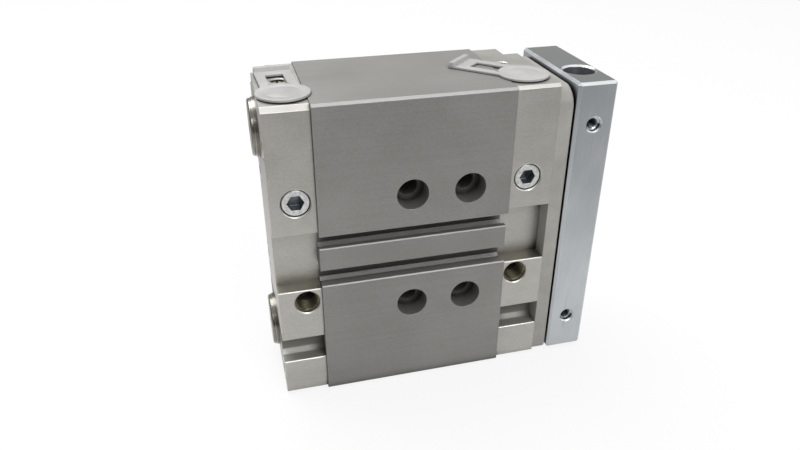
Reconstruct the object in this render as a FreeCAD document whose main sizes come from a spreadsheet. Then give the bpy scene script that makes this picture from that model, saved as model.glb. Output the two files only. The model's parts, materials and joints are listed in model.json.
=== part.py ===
"""Guided pneumatic cylinder: 32 mm bore, 30 mm stroke, two 20 mm guide rods.

The body stands on its narrow side.  X runs along the stroke, towards the yoke plate.
Y runs from the front face, with the mounting holes, to the back.  Z points up.
The origin is the middle of the profile's bottom face.  All sizes are in millimetres.
"""
import FreeCAD, Part
import math
import os
import re
import Sketcher
from FreeCAD import Placement, Rotation, Vector

DIMENSIONS = [
    # alias, value, what it is
    ("stroke", 30, "travel of the yoke plate"),
    ("end_play", 0.1, "gap between the piston and each buffer"),
    ("running_gap", 0.04, "radial clearance of a running fit"),
    ("bolt_gap", 0.4, "radial clearance round a screw shank or head"),
    # profile
    ("guide_cover", 3, "wall between a guide channel and the top or bottom"),
    ("back_wall", 4.5, "wall between the bore and the back"),
    ("edge_chamfer", 0.8, "chamfer of the long outer edges"),
    ("axis_depth", 27.5, "front face to the rod axes"),
    ("guide_spacing", 79, "between the two guide rod axes"),
    ("piston_bore", 32, "bore diameter"),
    ("slot_offset", 6.95, "mid-height to the middle of a sensor slot"),
    ("slot_opening", 5.2, "mouth of a sensor slot"),
    ("slot_width", 8.4, "inside width of a sensor slot"),
    ("slot_lip", 3.3, "front face to the undercut of a sensor slot"),
    ("slot_depth", 7.2, "front face to the floor of a sensor slot"),
    ("slot_corner", 1.2, "slope between the sides and the floor of a sensor slot"),
    ("slot_edge", 0.35, "broken edge of a sensor slot's mouth"),
    ("land_sink", 1.3, "how far the land between the slots lies back"),
    ("hole_pitch_along", 20, "mounting holes, along the stroke"),
    ("hole_setback", 14.4, "front end of the profile to the first holes"),
    ("hole_diameter", 6.8, "mounting holes, drilled for threads from the back"),
    ("counterbore_diameter", 11, "mounting holes, at the front"),
    ("counterbore_depth", 7, "mounting holes, at the front"),
    ("centring_diameter", 9, "seats for centring sleeves"),
    ("centring_depth", 2.1, "seats for centring sleeves"),
    # caps
    ("end_cap_length", 15, "rear cap, along the stroke"),
    ("bearing_cap_length", 15.5, "front cap, along the stroke"),
    ("cap_sink", 1.2, "profile's front and back faces to those of the caps"),
    ("cap_rim", 0.3, "profile's top and bottom faces to those of the caps"),
    ("rear_chamfer", 1.6, "top front edge of the rear cap"),
    ("front_chamfer", 1, "top front edge of the front cap"),
    ("sensor_pocket", 21.8, "height of the pocket that opens the slots' ends"),
    ("lower_pocket", 9.5, "height of the lower pocket"),
    ("lower_pocket_bottom", 14.5, "bottom to the lower pocket's ledge"),
    ("edge_break", 0.3, "chamfer of a cap's small edges"),
    ("pocket_fillet", 2.4, "inner corner of the lower pocket"),
    ("notch_depth", 9.7, "corner notches in the back of a cap, front to back"),
    ("notch_length", 5.5, "corner notches, along the stroke"),
    ("notch_height", 6, "corner notches, from the top or bottom"),
    ("rod_gap", 0.4, "radial clearance of a guide rod in a cap"),
    ("port_core", 8.6, "core of the supply ports' threads"),
    ("port_depth", 8.5, "threads of the front supply ports"),
    ("port_drill", 7.8, "drilled end of the front supply ports"),
    ("port_runout", 2, "length of that end"),
    ("port_offset", 16, "mid-height to the front supply ports"),
    ("port_setback", 5.2, "joint to the front supply port"),
    ("port_chamfer", 0.4, "mouths of the ports and the adjusting screws' holes"),
    ("plug_diameter", 9.7, "threaded plug that closes the spare port"),
    ("plug_offset", 22.4, "mid-height to a threaded plug"),
    ("plug_setback", 6.6, "joint to a threaded plug"),
    ("plug_length", 7.5, "threaded plug"),
    ("plug_sink", 0.4, "cap's front face to the plug's"),
    ("plug_bevel", 0.5, "outer edge of a threaded plug"),
    ("plug_socket", 5, "hexagon in a threaded plug"),
    ("top_port_setback", 6.8, "joint to a top port"),
    ("top_port_depth", 9, "top ports"),
    ("gallery_depth", 12.4, "front face to the drilled air gallery"),
    ("gallery_diameter", 4, "drilled air gallery"),
    ("passage_diameter", 3, "air passage from the gallery to the chamber"),
    ("passage_setback", 4, "joint to the air passage"),
    ("chamber_recess", 18, "diameter of the recess in a cap's inner face"),
    ("chamber_recess_depth", 6, "recess in a cap's inner face"),
    ("rear_cushion_setback", 7, "rear joint to its adjusting screw"),
    ("front_cushion_setback", 4.9, "front joint to its adjusting screw"),
    ("cushion_hole", 4.6, "hole of an adjusting screw"),
    ("cushion_hole_depth", 3.9, "hole of an adjusting screw"),
    ("cushion_screw_length", 3, "adjusting screw"),
    ("cushion_slot", 0.7, "screwdriver slot"),
    # cap fasteners and seals
    ("cap_screw", 5, "thread of the cap screws"),
    ("cap_screw_head", 8.5, "head of the cap screws"),
    ("cap_screw_bite", 9, "length of a cap screw inside the profile"),
    ("cap_screw_socket", 4, "hexagon in a cap screw"),
    ("screw_front", 6.8, "front face to the front cap screws"),
    ("screw_top", 14, "top to the upper front cap screw"),
    ("screw_bottom", 8, "bottom to the lower front cap screw"),
    ("screw_back_wall", 7, "back face to the back cap screws"),
    ("screw_beside_bore", 2, "bore's edge to the height of the back cap screws"),
    ("screw_bevel", 0.4, "edges of the screws"),
    ("screw_runout", 1, "thread beyond the end of a screw"),
    ("ring_land", 1, "bore's edge to a cap's ring seal"),
    ("ring_width", 1.6, "ring seal, across"),
    ("ring_thickness", 1.2, "ring seal, along the stroke"),
    # guides
    ("guide_rod", 20, "guide rod diameter"),
    ("rod_overhang", 2.5, "guide rods beyond the rear cap"),
    ("rod_chamfer", 0.5, "rear end of a guide rod"),
    ("rod_step", 0.35, "how much smaller the rear end of a guide rod is, in radius"),
    ("rod_step_length", 1.3, "that end"),
    ("rod_centre", 2, "lathe centre in the rear end of a guide rod"),
    ("ring_bevel", 0.3, "edges of the bushes and rings"),
    ("bush_wall", 2.5, "wall of a guide bush"),
    ("bush_length", 22, "guide bush"),
    ("wiper_width", 3, "guide rod wiper, inside to outside"),
    ("wiper_depth", 4, "guide rod wiper, along the rod"),
    # piston and piston rod
    ("piston_length", 28, "piston"),
    ("piston_gap", 0.3, "radial clearance of the piston's lands"),
    ("groove_depth", 3, "grooves in the piston"),
    ("piston_seal", 3, "piston seal, along the stroke"),
    ("guide_ring", 6, "piston guide ring, along the stroke"),
    ("magnet_ring", 4, "piston magnet, along the stroke"),
    ("buffer_thickness", 4, "elastic end buffer"),
    ("piston_rod", 12, "piston rod diameter"),
    ("rod_spigot", 8, "piston rod inside the piston"),
    ("piston_nut", 13, "piston nut, across the flats"),
    ("piston_nut_height", 5, "piston nut"),
    ("rod_bush_wall", 2, "piston rod bush"),
    ("rod_seal_depth", 4.5, "piston rod seal, along the rod"),
    ("rod_seal_width", 4, "piston rod seal, inside to outside"),
    # cover
    ("cover_thickness", 5.4, "moulded cover"),
    ("cover_inset", 2.1, "top of the cap to that of the cover"),
    ("cover_foot", 0.6, "bottom of the cap to that of the cover"),
    ("cover_corner", 7, "upper corners of the cover"),
    ("cover_foot_corner", 2, "lower corners of the cover"),
    ("cover_edge", 0.8, "rounded outer edge of the cover"),
    ("cover_gap", 0.8, "radial clearance of the cover round the rods"),
    ("cover_screw", 3, "thread of the cover screws"),
    ("cover_screw_head", 5.5, "head of the cover screws"),
    ("cover_head_height", 1.8, "head of the cover screws"),
    ("cover_screw_socket", 2, "hexagon in a cover screw"),
    ("cover_screw_bite", 5, "length of a cover screw inside the cap"),
    ("cover_screw_front", 14, "front face to the front cover screws"),
    ("cover_screw_offset", 26, "mid-height to the cover screws"),
    # yoke plate
    ("yoke_gap", 0.8, "between the cover and the retracted yoke plate"),
    ("yoke_thickness", 14.2, "yoke plate"),
    ("yoke_inset", 0.8, "yoke plate inside the profile's outline"),
    ("yoke_chamfer", 0.9, "edges of the yoke plate"),
    ("rod_seat", 2, "depth of the rods' seats in the yoke plate"),
    ("guide_screw", 8, "thread of the guide rod screws"),
    ("guide_screw_head", 13, "head of the guide rod screws"),
    ("guide_screw_socket", 6, "hexagon in a guide rod screw"),
    ("guide_screw_bite", 16, "length of that screw inside the guide rod"),
    ("centre_screw", 6, "thread of the piston rod screw"),
    ("centre_screw_head", 10, "head of the piston rod screw"),
    ("centre_screw_socket", 5, "hexagon in the piston rod screw"),
    ("centre_screw_bite", 12, "length of that screw inside the piston rod"),
    ("head_sink", 0.2, "face of the yoke plate or cover to the heads of its screws"),
    ("payload_core", 5, "core of the payload and side threads"),
    ("payload_pitch_across", 30, "payload threads, front to back"),
    ("payload_pitch_up", 40, "payload threads and centring seats, up the plate"),
    ("side_thread_depth", 13, "threads in the front edge of the yoke plate"),
    ("thread_chamfer", 0.5, "mouths of the yoke plate's threads"),
    ("edge_bore", 11, "bores in the top and bottom edges of the yoke plate"),
    ("edge_bore_depth", 10, "those bores"),
    ("edge_bore_front", 15.4, "profile's front face to those bores"),
    ("edge_bore_chamfer", 0.6, "mouths of those bores"),
    # transport plugs
    ("tag_lift", 0.1, "profile's top to the plug's flange"),
    ("tag_flange", 17.2, "flange diameter"),
    ("tag_thickness", 0.9, "flange and strap"),
    ("tag_stem_gap", 0.1, "radial clearance of the stem in its port"),
    ("tag_stem_length", 6.5, "stem below the cap's top"),
    ("tag_stem_wall", 1, "wall of the hollow stem"),
    ("tag_reach", 24, "port to the middle of the pull bar"),
    ("tag_neck", 12, "strap, across it"),
    ("tag_bar", 12.8, "pull bar, across the strap"),
    ("tag_bar_width", 2.4, "pull bar, along the strap"),
    ("tag_bar_rise", 1.1, "pull bar above the strap"),
    ("tag_flare", 2, "strap's curve out to the pull bar, along the strap"),
    ("tag_window", 10.8, "window in the strap, along it"),
    ("tag_window_width", 5.8, "window in the strap, across it"),
    ("tag_window_start", 7.6, "port to the window"),
    ("rear_tag_angle", 93, "direction of the rear strap, in degrees from +X"),
    ("front_tag_angle", 135, "direction of the front strap, in degrees from +X"),
]

DERIVED = {
    "profile_length": "(stroke + piston_length + 2 * buffer_thickness + 2 * end_play)",
    "body_height": "(guide_spacing + guide_rod + 2 * bush_wall + 2 * guide_cover)",
    "body_depth": "(axis_depth + piston_bore / 2 + back_wall)",
    "hole_pitch_up": "(guide_spacing / 2 + piston_bore / 2 - guide_rod / 2 - bush_wall)",
    "port_height": "(body_height / 2 - port_offset)",
    "plug_height": "(body_height / 2 + plug_offset)",
    "screw_back": "(body_depth - screw_back_wall)",
    "screw_back_offset": "(piston_bore / 2 + screw_beside_bore)",
    "ring_diameter": "(piston_bore + 2 * ring_land)",
}


def words(names):
    """Pattern that finds any of the names as a whole word."""
    return re.compile(r"(?<![.\w])(" + "|".join(names) + r")\b")


DERIVED_NAMES = words(DERIVED)
NAMES = words(row[0] for row in DIMENSIONS)
TINY = 1e-4  # two places nearer than this are the same

document = FreeCAD.newDocument("GuidedCylinder")
sheet = document.addObject("Spreadsheet::Sheet", "Dims")
for line, (alias, value, meaning) in enumerate(DIMENSIONS, start=1):
    sheet.set(f"A{line}", alias)
    sheet.set(f"B{line}", str(value))
    sheet.set(f"C{line}", meaning)
    sheet.setAlias(f"B{line}", alias)
document.recompute()

parts = []


# ---------------------------------------------------------------- helpers
def dims(text):
    """Expression in which each name of the sheet points to its cell."""
    text = str(text)
    while DERIVED_NAMES.search(text):
        text = DERIVED_NAMES.sub(lambda found: DERIVED[found[1]], text)
    return "(" + NAMES.sub(r"Dims.\1", text) + ")"


def number(text):
    """What an expression comes to now."""
    return float(sheet.evalExpression(dims(text)))


PROFILE_LENGTH = dims("profile_length")
MIDDLE = dims("body_height / 2")
UPPER = dims("body_height / 2 + guide_spacing / 2")
LOWER = dims("body_height / 2 - guide_spacing / 2")
FRONT = dims("-body_depth / 2")
AXIS = dims("axis_depth - body_depth / 2")
REAR_JOINT = f"(-{PROFILE_LENGTH} / 2)"
FRONT_JOINT = f"({PROFILE_LENGTH} / 2)"
COVER_FACE = dims(f"{FRONT_JOINT} + bearing_cap_length")
YOKE_FACE = dims(f"{COVER_FACE} + cover_thickness + yoke_gap")
CHANNEL_RADIUS = dims("guide_rod / 2 + bush_wall")
TOP = dims("body_height - cap_rim")
PISTON_REAR = dims(f"{REAR_JOINT} + buffer_thickness + end_play")


def place(thing, x, y, z, turn=None):
    """Turn an object, then bind its position to the sheet."""
    thing.Placement = Placement(Vector(), turn or Rotation())
    for axis, where in zip("xyz", (x, y, z)):
        thing.setExpression(f"Placement.Base.{axis}", dims(where))


def new_body(label, x="0", y=FRONT, z="0", turn=None):
    """Start a sub-part; its label names its file."""
    body = document.addObject("PartDesign::Body", label)
    body.Label = label
    place(body, x, y, z, turn)
    parts.append(body)
    return body


def new_sketch(body, plane, offset="0"):
    """Sketch on one of the body's own planes, moved along that plane's normal."""
    sketch = body.newObject("Sketcher::SketchObject", f"{body.Label}_sketch")
    origin = [f for f in body.Origin.OriginFeatures if f.Role == plane]
    sketch.AttachmentSupport = [(origin[0], "")]
    sketch.MapMode = "FlatFace"
    sketch.setExpression("AttachmentOffset.Base.z", dims(offset))
    return sketch


def pin_point(sketch, geometry, end, u, v):
    """Bind one point of a sketch to u, v."""
    for kind, where in (("DistanceX", u), ("DistanceY", v)):
        rule = sketch.addConstraint(Sketcher.Constraint(kind, geometry, end, number(where)))
        sketch.setExpression(f"Constraints[{rule}]", dims(where))


def draw_outline(sketch, corners):
    """Closed polygon whose corners are bound to the sheet."""
    points = [Vector(number(u), number(v), 0) for u, v in corners]
    first = sketch.GeometryCount
    for start, end in zip(points, points[1:] + points[:1]):
        sketch.addGeometry(Part.LineSegment(start, end), False)
    for step, (u, v) in enumerate(corners):
        after = first + (step + 1) % len(corners)
        sketch.addConstraint(Sketcher.Constraint("Coincident", first + step, 2, after, 1))
        pin_point(sketch, first + step, 1, u, v)


def draw_box(sketch, low_u, high_u, low_v, high_v):
    """Rectangle between four bound sides."""
    draw_outline(sketch, [(low_u, low_v), (high_u, low_v), (high_u, high_v), (low_u, high_v)])


def draw_circle(sketch, u, v, radius):
    """Circle whose centre and radius are bound to the sheet."""
    circle = Part.Circle(Vector(number(u), number(v), 0), Vector(0, 0, 1), number(radius))
    index = sketch.addGeometry(circle, False)
    rule = sketch.addConstraint(Sketcher.Constraint("Radius", index, number(radius)))
    sketch.setExpression(f"Constraints[{rule}]", dims(radius))
    pin_point(sketch, index, 3, u, v)


def draw_hexagon(sketch, flats):
    """Hexagon round the sketch's origin, with its size across the flats."""
    corners = []
    for step in range(6):
        angle = math.radians(60 * step)
        u = math.cos(angle) / math.sqrt(3)
        v = math.sin(angle) / math.sqrt(3)
        corners.append((f"{u:.7f} * {flats}", f"{v:.7f} * {flats}"))
    draw_outline(sketch, corners)


def pad(body, sketch, length, backwards=False):
    """Material from a sketch, along its plane's normal."""
    feature = body.newObject("PartDesign::Pad", f"{body.Label}_pad")
    feature.Profile = sketch
    feature.setExpression("Length", dims(length))
    feature.Reversed = backwards
    sketch.Visibility = False
    document.recompute()
    return feature


def pocket(body, sketch, depth=None, backwards=False):
    """Cut from a sketch against its plane's normal, to a depth or right through."""
    feature = body.newObject("PartDesign::Pocket", f"{body.Label}_pocket")
    feature.Profile = sketch
    if depth is None:
        feature.Type = "ThroughAll"
    else:
        feature.setExpression("Length", dims(depth))
    feature.Reversed = backwards
    sketch.Visibility = False
    document.recompute()
    return feature


def drill(body, plane, holes, depth=None, offset="0", backwards=False):
    """Round pockets, each hole a centre and a radius."""
    sketch = new_sketch(body, plane, offset)
    for u, v, radius in holes:
        draw_circle(sketch, u, v, radius)
    return pocket(body, sketch, depth, backwards)


def turned(body, corners):
    """Solid of revolution round the X axis from a half outline of (x, radius)."""
    sketch = new_sketch(body, "XY_Plane")
    draw_outline(sketch, corners)
    feature = body.newObject("PartDesign::Revolution", f"{body.Label}_turning")
    feature.Profile = sketch
    feature.ReferenceAxis = (sketch, ["H_Axis"])
    feature.Angle = 360
    sketch.Visibility = False
    document.recompute()
    return feature


def edges_where(feature, wanted):
    """Names of the edges of a feature that a test picks."""
    edges = enumerate(feature.Shape.Edges, start=1)
    return [f"Edge{index}" for index, edge in edges if wanted(edge)]


def break_edges(body, feature, names, size, kind="Chamfer"):
    """Chamfer or fillet the named edges."""
    broken = body.newObject(f"PartDesign::{kind}", f"{body.Label}_{kind.lower()}")
    broken.Base = (feature, names)
    broken.setExpression("Size" if kind == "Chamfer" else "Radius", dims(size))
    document.recompute()
    return broken


def is_mouth(edge, radius, axis, level):
    """Whether an edge is a full circle of that radius at that level along an axis."""
    if edge.Curve.TypeId != "Part::GeomCircle" or not edge.Closed:
        return False
    near = abs(edge.Curve.Radius - number(radius)) < TINY
    return near and abs(edge.Curve.Center[axis] - number(level)) < TINY


def runs_along_x(edge, y, z):
    """Whether an edge is straight along X at that y, z."""
    box = edge.BoundBox
    straight = box.YLength < TINY and box.ZLength < TINY
    return straight and abs(box.YMin - number(y)) < TINY and abs(box.ZMin - number(z)) < TINY


def ring(label, x, y, z, outer, inner, length, bevel="ring_bevel"):
    """Turned ring with broken outer edges, from its rear face forwards."""
    body = new_body(label, x, y, z)
    turned(body, [
        ("0", inner),
        ("0", f"{outer} - {bevel}"),
        (bevel, outer),
        (f"{length} - {bevel}", outer),
        (length, f"{outer} - {bevel}"),
        (length, inner),
    ])
    return body


def head_screw(label, thread, head, head_height, socket, shank):
    """Socket head screw: shank along -X, underside of the head at X = 0."""
    body = document.addObject("PartDesign::Body", label)
    turned(body, [
        (f"-({shank})", "0"),
        (f"-({shank})", f"{thread} / 2 - screw_bevel"),
        (f"-({shank}) + screw_bevel", f"{thread} / 2"),
        ("0", f"{thread} / 2"),
        ("0", f"{head} / 2"),
        (f"{head_height} - screw_bevel", f"{head} / 2"),
        (head_height, f"{head} / 2 - screw_bevel"),
        (head_height, "0"),
    ])
    sketch = new_sketch(body, "YZ_Plane", head_height)
    draw_hexagon(sketch, socket)
    pocket(body, sketch, f"{head_height} / 2")
    return body


def screw_group(label, master, places, turn=None):
    """One sub-part that holds a copy of a screw at each place."""
    links = []
    for x, y, z in places:
        link = document.addObject("App::Link", f"{label}_copy")
        link.LinkedObject = master
        link.LinkTransform = False
        place(link, x, y, z, turn)
        links.append(link)
    group = document.addObject("Part::Compound", label)
    group.Label = label
    group.Links = links
    document.recompute()
    parts.append(group)


# ---------------------------------------------------------------- profile
def slot_corners(centre, upper_face, lower_face):
    """Corners of a T-slot's wall, from the face above it to the face below it."""
    top, bottom = f"{centre} + slot_opening / 2", f"{centre} - slot_opening / 2"
    wide_top, wide_bottom = f"{centre} + slot_width / 2", f"{centre} - slot_width / 2"
    return [
        (upper_face, f"{top} + slot_edge"),
        (f"{upper_face} + slot_edge", top),
        ("slot_lip", top),
        ("slot_lip", wide_top),
        ("slot_depth - slot_corner", wide_top),
        ("slot_depth", f"{wide_top} - slot_corner"),
        ("slot_depth", f"{wide_bottom} + slot_corner"),
        ("slot_depth - slot_corner", wide_bottom),
        ("slot_lip", wide_bottom),
        ("slot_lip", bottom),
        (f"{lower_face} + slot_edge", bottom),
        (lower_face, f"{bottom} - slot_edge"),
    ]


def cap_screw_places():
    """Front-to-back and height of the four cap screws."""
    return [
        ("screw_front", "body_height - screw_top"),
        ("screw_front", "screw_bottom"),
        ("screw_back", f"{MIDDLE} + screw_back_offset"),
        ("screw_back", f"{MIDDLE} - screw_back_offset"),
    ]


def mounting_places():
    """Along and height of the four mounting holes, from the profile's rear end."""
    along = f"{PROFILE_LENGTH} - hole_setback"
    return [
        (along, f"{MIDDLE} + hole_pitch_up / 2"),
        (f"{along} - hole_pitch_along", f"{MIDDLE} - hole_pitch_up / 2"),
        (f"{along} - hole_pitch_along", f"{MIDDLE} + hole_pitch_up / 2"),
        (along, f"{MIDDLE} - hole_pitch_up / 2"),
    ]


def barrel_profile():
    """Extrusion with its slots and bores, then the drilled holes."""
    body = new_body("barrel_profile", REAR_JOINT)
    section = new_sketch(body, "YZ_Plane")
    draw_outline(section, [
        ("edge_chamfer", "0"),
        ("body_depth - edge_chamfer", "0"),
        ("body_depth", "edge_chamfer"),
        ("body_depth", "body_height - edge_chamfer"),
        ("body_depth - edge_chamfer", "body_height"),
        ("edge_chamfer", "body_height"),
        ("0", "body_height - edge_chamfer"),
        *slot_corners(f"{MIDDLE} + slot_offset", "0", "land_sink"),
        *slot_corners(f"{MIDDLE} - slot_offset", "land_sink", "0"),
        ("0", "edge_chamfer"),
    ])
    draw_circle(section, "axis_depth", MIDDLE, "piston_bore / 2")
    for height in (UPPER, LOWER):
        draw_circle(section, "axis_depth", height, CHANNEL_RADIUS)
    pad(body, section, PROFILE_LENGTH)

    holes = mounting_places()
    drill(body, "XZ_Plane", [(x, z, "hole_diameter / 2") for x, z in holes])
    drill(body, "XZ_Plane", [(x, z, "counterbore_diameter / 2") for x, z in holes],
          "counterbore_depth")
    drill(body, "XZ_Plane", [(x, z, "centring_diameter / 2") for x, z in holes[:2]],
          "centring_depth", "-body_depth", backwards=True)

    threads = [(y, z, "cap_screw / 2") for y, z in cap_screw_places()]
    drill(body, "YZ_Plane", threads, "cap_screw_bite + screw_runout", backwards=True)
    drill(body, "YZ_Plane", threads, "cap_screw_bite + screw_runout", PROFILE_LENGTH)


# ---------------------------------------------------------------- caps
def cap(label, side, length, chamfer, cushion_setback):
    """A machined cap; side is 1 in front of the profile and -1 behind it.

    Local X = 0 is the joint with the profile.
    """
    ahead = side > 0
    body = new_body(label, f"{side} * {FRONT_JOINT}")
    back = "body_depth - cap_sink"
    section = new_sketch(body, "YZ_Plane")
    draw_outline(section, [
        ("cap_sink + edge_chamfer", "cap_rim"),
        (f"{back} - edge_chamfer", "cap_rim"),
        (back, "cap_rim + edge_chamfer"),
        (back, f"{TOP} - edge_chamfer"),
        (f"{back} - edge_chamfer", TOP),
        (f"cap_sink + {chamfer}", TOP),
        ("cap_sink", f"{TOP} - {chamfer}"),
        ("cap_sink", f"{MIDDLE} + sensor_pocket / 2"),
        ("slot_depth", f"{MIDDLE} + sensor_pocket / 2"),
        ("slot_depth", f"{MIDDLE} - sensor_pocket / 2"),
        ("cap_sink", f"{MIDDLE} - sensor_pocket / 2"),
        ("cap_sink", "lower_pocket_bottom + lower_pocket"),
        ("slot_depth", "lower_pocket_bottom + lower_pocket"),
        ("slot_depth", "lower_pocket_bottom"),
        ("cap_sink", "lower_pocket_bottom"),
        ("cap_sink", "cap_rim + edge_chamfer"),
    ])
    for height in (UPPER, LOWER):
        draw_circle(section, "axis_depth", height, "guide_rod / 2 + rod_gap")
    block = pad(body, section, length, backwards=not ahead)
    inner = edges_where(block, lambda e: runs_along_x(e, "slot_depth", "lower_pocket_bottom"))
    rounded = break_edges(body, block, inner, "pocket_fillet", "Fillet")
    levels = (f"{MIDDLE} + sensor_pocket / 2", f"{MIDDLE} - sensor_pocket / 2",
              "lower_pocket_bottom", "lower_pocket_bottom + lower_pocket")
    lips = edges_where(rounded, lambda e: any(runs_along_x(e, "cap_sink", z) for z in levels))
    break_edges(body, rounded, lips, "edge_break")

    notches = new_sketch(body, "YZ_Plane", f"{side} * {length}")
    draw_box(notches, "body_depth - notch_depth", "body_depth", "body_height - notch_height",
             "body_height")
    draw_box(notches, "body_depth - notch_depth", "body_depth", "0", "notch_height")
    pocket(body, notches, "notch_length", backwards=not ahead)

    outer_face = f"{side} * {length}"
    screws = cap_screw_places()
    drill(body, "YZ_Plane", [(y, z, "cap_screw / 2 + bolt_gap") for y, z in screws],
          offset=outer_face, backwards=not ahead)
    drill(body, "YZ_Plane", [(y, z, "cap_screw_head / 2 + bolt_gap") for y, z in screws],
          "cap_screw", outer_face, backwards=not ahead)

    groove = new_sketch(body, "YZ_Plane")
    draw_circle(groove, "axis_depth", MIDDLE, "ring_diameter / 2")
    draw_circle(groove, "axis_depth", MIDDLE, "ring_diameter / 2 + ring_width")
    pocket(body, groove, "ring_thickness", backwards=ahead)
    drill(body, "YZ_Plane", [("axis_depth", MIDDLE, "chamber_recess / 2")],
          "chamber_recess_depth", backwards=ahead)

    # Air passages: the gallery falls from the top port past both front ports.
    port = (f"{side} * port_setback", "port_height")
    drill(body, "XZ_Plane", [(*port, "port_core / 2")], "port_depth", "-cap_sink")
    drill(body, "XZ_Plane", [(*port, "port_drill / 2"),
                             (f"{side} * plug_setback", "plug_height", "plug_diameter / 2")],
          "port_depth + port_runout", "-cap_sink")
    top_port = (f"{side} * top_port_setback", "gallery_depth")
    drill(body, "XY_Plane", [(*top_port, "port_core / 2")], "top_port_depth", TOP)
    drill(body, "XY_Plane", [(*top_port, "gallery_diameter / 2")], f"{TOP} - port_height", TOP)
    drill(body, "XZ_Plane", [(f"{side} * passage_setback", MIDDLE, "passage_diameter / 2")],
          "axis_depth - gallery_depth", "-axis_depth", backwards=True)
    drill(body, "XY_Plane",
          [(f"{side} * {cushion_setback}", "axis_depth", "cushion_hole / 2")],
          "cushion_hole_depth", TOP)
    return body


def mouths(body):
    """Chamfer the mouths of a cap's ports, plug hole and adjusting screw."""
    def wanted(edge):
        in_front = any(is_mouth(edge, radius, 1, "cap_sink")
                       for radius in ("port_core / 2", "plug_diameter / 2"))
        on_top = any(is_mouth(edge, radius, 2, TOP)
                     for radius in ("port_core / 2", "cushion_hole / 2"))
        return in_front or on_top
    break_edges(body, body.Tip, edges_where(body.Tip, wanted), "port_chamfer")


def end_cap():
    """Rear cap, with the piston nut's recess and a port that faces the front."""
    body = cap("end_cap", -1, "end_cap_length", "rear_chamfer", "rear_cushion_setback")
    mouths(body)


def bearing_cap():
    """Front cap, which also seats the piston rod bush, its seal and the wipers."""
    body = cap("bearing_cap", 1, "bearing_cap_length", "front_chamfer", "front_cushion_setback")
    centre = ("axis_depth", MIDDLE)
    drill(body, "YZ_Plane", [(*centre, "piston_rod / 2 + rod_bush_wall")],
          offset="bearing_cap_length")
    drill(body, "YZ_Plane", [(*centre, "piston_rod / 2 + rod_seal_width")],
          "rod_seal_depth", "bearing_cap_length")
    wipers = [("axis_depth", z, "guide_rod / 2 + wiper_width") for z in (UPPER, LOWER)]
    drill(body, "YZ_Plane", wipers, "wiper_depth", "bearing_cap_length")
    threads = [(y, z, "cover_screw / 2") for y, z in cover_screw_places()]
    drill(body, "YZ_Plane", threads, "cover_screw_bite + screw_runout", "bearing_cap_length")
    mouths(body)


# ---------------------------------------------------------------- cover
def cover_screw_places():
    """Front-to-back and height of the four cover screws."""
    rows = (f"{MIDDLE} + cover_screw_offset", f"{MIDDLE} - cover_screw_offset")
    return [(y, z) for y in ("cover_screw_front", "screw_back") for z in rows]


def bearing_cover():
    """Moulded cover that holds the wipers and the rod seal in the bearing cap."""
    body = new_body("bearing_cover", COVER_FACE)
    front, back = "cap_sink", "body_depth - cap_sink"
    low, high = "cap_rim + cover_foot", f"{TOP} - cover_inset"
    section = new_sketch(body, "YZ_Plane")
    draw_box(section, front, back, low, high)
    plate = pad(body, section, "cover_thickness")
    for level, radius in ((high, "cover_corner"), (low, "cover_foot_corner")):
        names = edges_where(body.Tip, lambda e: runs_along_x(e, front, level)
                            or runs_along_x(e, back, level))
        break_edges(body, body.Tip, names, radius, "Fillet")
    face = number("cover_thickness")
    rim = edges_where(body.Tip, lambda e: abs(e.BoundBox.XMin - face) < TINY)
    break_edges(body, body.Tip, rim, "cover_edge", "Fillet")
    holes = [("axis_depth", z, "guide_rod / 2 + cover_gap") for z in (UPPER, LOWER)]
    holes.append(("axis_depth", MIDDLE, "piston_rod / 2 + cover_gap"))
    screws = cover_screw_places()
    holes += [(y, z, "cover_screw / 2 + bolt_gap / 2") for y, z in screws]
    drill(body, "YZ_Plane", holes, offset="cover_thickness")
    drill(body, "YZ_Plane", [(y, z, "cover_screw_head / 2 + bolt_gap / 2") for y, z in screws],
          "cover_head_height + head_sink", "cover_thickness")


# ---------------------------------------------------------------- guides
def guide_parts():
    """Two rods, their four bushes and their two wipers."""
    inner = "guide_rod / 2 + running_gap"
    for name, height in (("upper", UPPER), ("lower", LOWER)):
        guide_rod(f"guide_rod_{name}", height)
        ring(f"guide_bush_rear_{name}", REAR_JOINT, AXIS, height, CHANNEL_RADIUS, inner,
             "bush_length")
        ring(f"guide_bush_front_{name}", f"{FRONT_JOINT} - bush_length", AXIS, height,
             CHANNEL_RADIUS, inner, "bush_length")
        lip_seal(f"rod_wiper_{name}", height, "guide_rod", "wiper_width", "wiper_depth")


def guide_rod(label, height):
    """Hardened rod from beyond the end cap to its seat in the yoke plate."""
    rear = f"{REAR_JOINT} - end_cap_length - rod_overhang"
    length = dims(f"{YOKE_FACE} + rod_seat - ({rear})")
    body = new_body(label, rear, AXIS, height)
    core, depth = "guide_screw / 2", "(guide_screw_bite + screw_runout)"
    turned(body, [
        ("rod_centre", "0"),
        ("0", "rod_centre"),
        ("0", "guide_rod / 2 - rod_step - rod_chamfer"),
        ("rod_chamfer", "guide_rod / 2 - rod_step"),
        ("rod_step_length", "guide_rod / 2 - rod_step"),
        ("rod_step_length", "guide_rod / 2"),
        (length, "guide_rod / 2"),
        (length, core),
        (f"{length} - {depth}", core),
        (f"{length} - {depth} - {core}", "0"),
    ])


def lip_seal(label, height, rod, width, depth):
    """Ring in the bearing cap's outer face, whose lip runs on the rod."""
    body = new_body(label, f"{COVER_FACE} - {depth}", AXIS, height)
    outer, inner = f"{rod} / 2 + {width}", f"{rod} / 2 + running_gap"
    turned(body, [
        ("0", f"{inner} + {width} / 3"),
        ("0", outer),
        (depth, outer),
        (depth, inner),
        (f"{depth} * 0.7", inner),
        (f"{depth} * 0.5", f"{inner} + {width} / 3"),
    ])


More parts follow.
